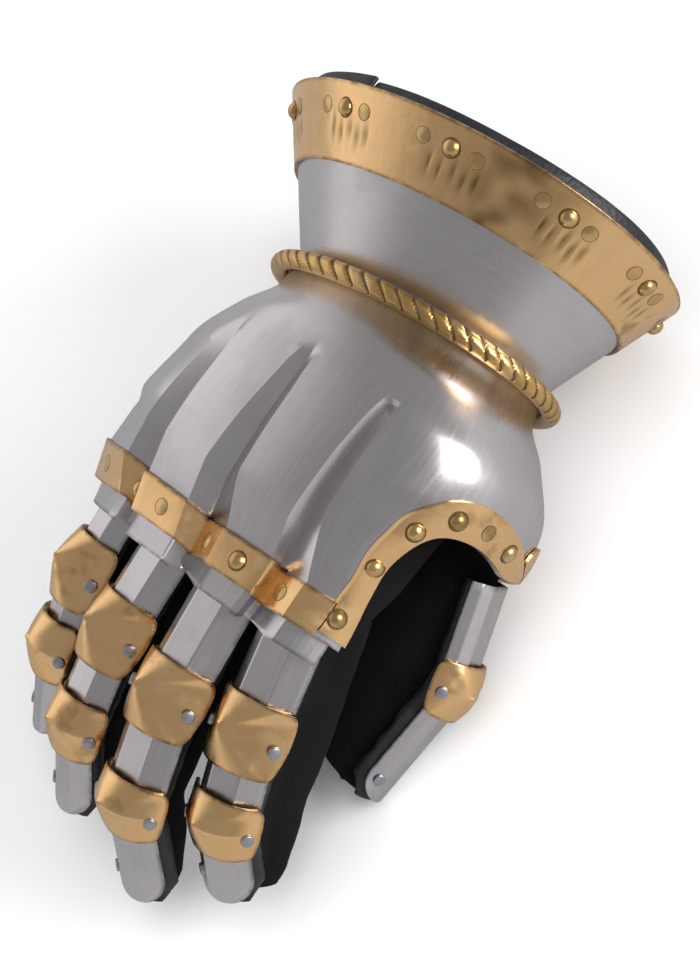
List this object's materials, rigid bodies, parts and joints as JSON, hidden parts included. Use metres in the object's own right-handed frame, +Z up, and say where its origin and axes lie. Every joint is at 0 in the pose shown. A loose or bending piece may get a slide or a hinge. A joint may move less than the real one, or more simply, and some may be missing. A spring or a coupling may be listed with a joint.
{
  "type": "armoured gauntlet",
  "caption": "Right-hand gauntlet: flared steel cuff, fluted hand plate, plated fingers and thumb, brass borders and knuckle domes on a black leather glove, lying palm down.",
  "frame": {"origin": "on the surface it lies on, under the middle of its bounding box", "axes": "+Z up, +Y towards the mouth of the cuff, -Y towards the fingertips, +X to the thumb's side"},
  "size_m": [0.1662, 0.279, 0.1376],
  "materials": {
    "steel_sheet": "satin steel sheet with fine brushing round the cuff",
    "brass_sheet": "worn brass sheet, stained olive brown in patches",
    "brass_cast": "rope-cut brass ring, darker in its slits",
    "glove_leather": "black leather, suede on the hand and fingers, smooth in the cuff",
    "strap_leather": "smooth black leather strips with rough cut edges"
  },
  "bodies": {
    "root": {"cuff_plate": "steel_sheet", "cuff_border": "brass_sheet", "wrist_rope": "brass_cast", "hand_plate": "steel_sheet", "knuckle_border": "brass_sheet", "thumb_border": "brass_sheet", "wrist_border": "brass_sheet", "wrist_edge_roll": "steel_sheet", "knuckle_lame": "steel_sheet", "index_plate_1": "steel_sheet", "index_dome_1": "brass_sheet", "index_plate_2": "steel_sheet", "index_dome_2": "brass_sheet", "index_plate_3": "steel_sheet", "index_strap": "strap_leather", "middle_plate_1": "steel_sheet", "middle_dome_1": "brass_sheet", "middle_plate_2": "steel_sheet", "middle_dome_2": "brass_sheet", "middle_plate_3": "steel_sheet", "middle_strap": "strap_leather", "ring_plate_1": "steel_sheet", "ring_dome_1": "brass_sheet", "ring_plate_2": "steel_sheet", "ring_dome_2": "brass_sheet", "ring_plate_3": "steel_sheet", "ring_strap": "strap_leather", "little_plate_1": "steel_sheet", "little_dome_1": "brass_sheet", "little_plate_2": "steel_sheet", "little_dome_2": "brass_sheet", "little_plate_3": "steel_sheet", "little_strap": "strap_leather", "thumb_plate_1": "steel_sheet", "thumb_dome_1": "brass_sheet", "thumb_plate_2": "steel_sheet", "thumb_strap": "strap_leather", "glove_cuff": "glove_leather", "glove_hand": "glove_leather", "glove_index": "glove_leather", "glove_middle": "glove_leather", "glove_ring": "glove_leather", "glove_little": "glove_leather", "glove_thumb": "glove_leather"}
  },
  "joints": []
}
